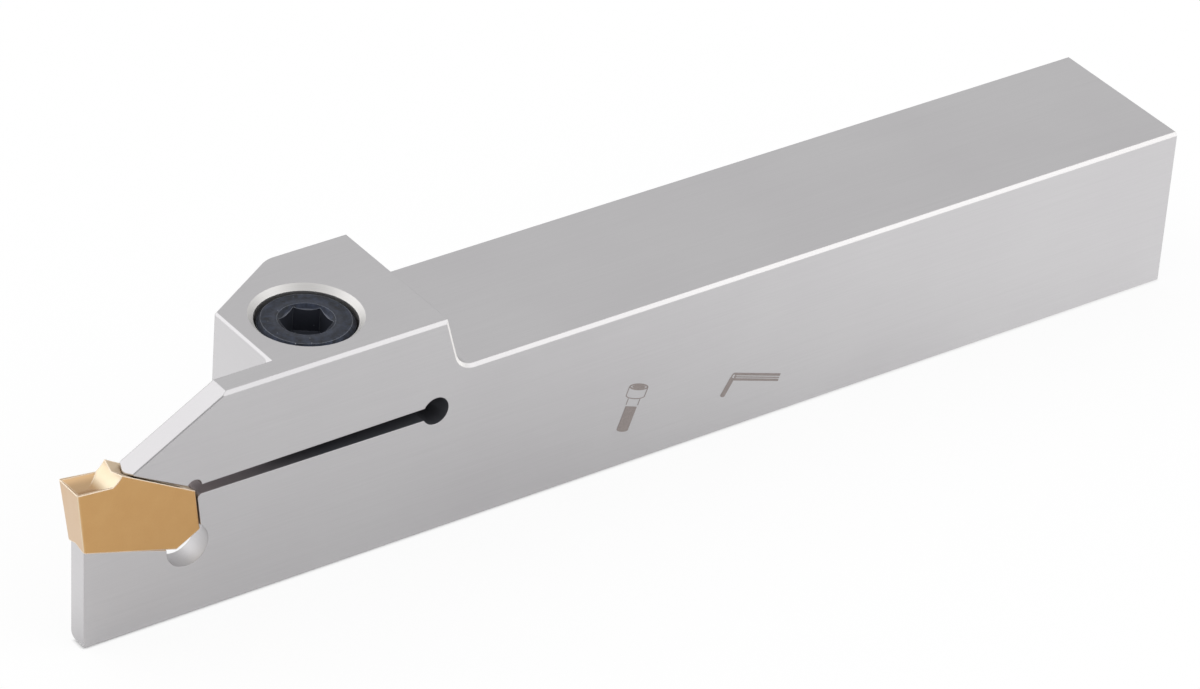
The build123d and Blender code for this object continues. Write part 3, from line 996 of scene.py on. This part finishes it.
def foot_shadow(middle, half):
    """Masks the painted contact shadow: 1 on the paper under one block of the tool, fading out
    close beside it.
    """
    off = add_node(
        tree, "VectorMath", {"operation": "SUBTRACT", 1: (*middle, 0)}, {0: place}
    )
    far = add_node(tree, "VectorMath", {"operation": "ABSOLUTE"}, {0: off.outputs[0]})
    past = add_node(
        tree, "VectorMath", {"operation": "SUBTRACT", 1: (*half, 0)}, {0: far.outputs[0]}
    )
    beyond = add_node(tree, "SeparateXYZ", links={0: past.outputs[0]})
    edge = add_node(
        tree, "Math", {"operation": "MAXIMUM"}, {0: beyond.outputs["X"], 1: beyond.outputs["Y"]}
    )
    return add_node(
        tree, "MapRange", {"From Min": contact_width, "From Max": 0.0}, {0: edge.outputs[0]}
    ).outputs[0]


shadow = foot_shadow(*shank_foot)
for foot in (head_foot, blade_foot):
    shadow = add_node(
        tree, "Math", {"operation": "MAXIMUM"}, {0: shadow, 1: foot_shadow(*foot)}
    ).outputs[0]
depth = add_node(
    tree,
    "MapRange",
    {"From Min": contact_fade[0], "From Max": contact_fade[1], "To Min": 1.0, "To Max": 0.45},
    {0: along.outputs["X"]},
)
shaded = add_node(tree, "Math", {"operation": "MULTIPLY"}, {0: shadow, 1: depth.outputs[0]})
open_light = add_node(
    tree, "Math", {"operation": "SUBTRACT", 0: 1.0}, {1: shaded.outputs[0]}
)
seen_light = add_node(
    tree, "Math", {"operation": "MULTIPLY"}, {0: seen.outputs[0], 1: open_light.outputs[0]}
)
glow = add_node(
    tree,
    "Math",
    {"operation": "MULTIPLY_ADD", 1: 0.9},
    {0: seen_light.outputs[0], 2: mirrored.outputs[0]},
)
lit = add_node(tree, "BsdfDiffuse", {"Color": linear("#F4F4F4")})
white = add_node(
    tree, "Emission", {"Color": linear("#FFFFFF")}, {"Strength": paper_light.outputs[0]}
)
mixed = add_node(
    tree, "MixShader", links={0: glow.outputs[0], 1: lit.outputs[0], 2: white.outputs[0]}
)
tree.links.new(mixed.outputs[0], surface)
floor.data.materials.append(paper)

# The tent: its walls' light by direction, and plain white where the lens looks past the tool
tent_level = 0.9
world = bpy.data.worlds.new("light_tent")
bpy.context.scene.world = world
world.use_nodes = True
tree = world.node_tree
tree.nodes.clear()
direction = add_node(tree, "TexCoord").outputs["Generated"]
path = add_node(tree, "LightPath")
seen = add_node(
    tree,
    "Math",
    {"operation": "MAXIMUM"},
    {0: path.outputs["Is Camera Ray"], 1: path.outputs["Is Transmission Ray"]},
)


def tent_wall(light, centre, spread, gain):
    """Adds a round patch of the tent that fades out over so many degrees, lighter or darker."""
    nearness = add_node(
        tree,
        "VectorMath",
        {"operation": "DOT_PRODUCT", 1: Vector(centre).normalized()},
        {0: direction},
    )
    patch = add_node(
        tree,
        "MapRange",
        {
            "interpolation_type": "SMOOTHSTEP",
            "From Min": cos(radians(spread)),
            "From Max": 1.0,
            "To Max": gain,
        },
        {0: nearness.outputs["Value"]},
    )
    return add_node(
        tree, "Math", {"operation": "ADD"}, {0: light, 1: patch.outputs[0]}
    ).outputs[0]


plain = add_node(tree, "Value")
plain.outputs[0].default_value = tent_level
tent = tent_wall(plain.outputs[0], (-0.58, 0.66, 0.47), spread=55, gain=0.56)
tent = tent_wall(tent, (0.52, -0.55, 0.66), spread=40, gain=0.53)
tent = tent_wall(tent, (-0.3, -0.72, 0.63), spread=18, gain=-0.7)
strength = add_node(
    tree, "Mix", {"data_type": "FLOAT", 3: 1.0}, {0: seen.outputs[0], 2: tent}
)
sky = add_node(
    tree, "Background", {"Color": linear("#FFFFFF")}, {"Strength": strength.outputs[0]}
)
add_node(tree, "OutputWorld", links={"Surface": sky.outputs[0]})


def soft_box(name, target, direction, distance, size, power):
    """A square soft box that stands off in a direction from the point it faces."""
    light = bpy.data.lights.new(name, "AREA")
    light.shape = "SQUARE"
    light.size = size
    light.energy = power
    lamp = bpy.data.objects.new(name, light)
    bpy.context.scene.collection.objects.link(lamp)
    away = Vector(direction).normalized()
    lamp.location = Vector(target) + away * distance
    lamp.rotation_euler = away.to_track_quat("Z", "Y").to_euler()


soft_box(
    "back_left_box",
    target=(0, 0, 0),
    direction=(-0.5, 0.62, 0.6),
    distance=0.9,
    size=0.6,
    power=0.4,
)
soft_box(
    "front_right_box",
    target=(0.055, -0.008, 0.016),
    direction=(0.515, -0.548, 0.659),
    distance=0.3,
    size=0.2,
    power=0.06,
)

# The lens, solved from the straight edges of the shank, the head and the insert
lens = bpy.data.cameras.new("studio_lens")
lens.lens = 185.0763
lens.sensor_width = 36
lens.clip_start = 0.01
camera = bpy.data.objects.new("studio_camera", lens)
bpy.context.scene.collection.objects.link(camera)
camera.location = (-0.282131, -0.360944, 0.300100)
camera.rotation_euler = [radians(a) for a in (57.3379, -3.8123, -35.5751)]
bpy.context.scene.camera = camera
bpy.context.scene.view_settings.view_transform = "Standard"
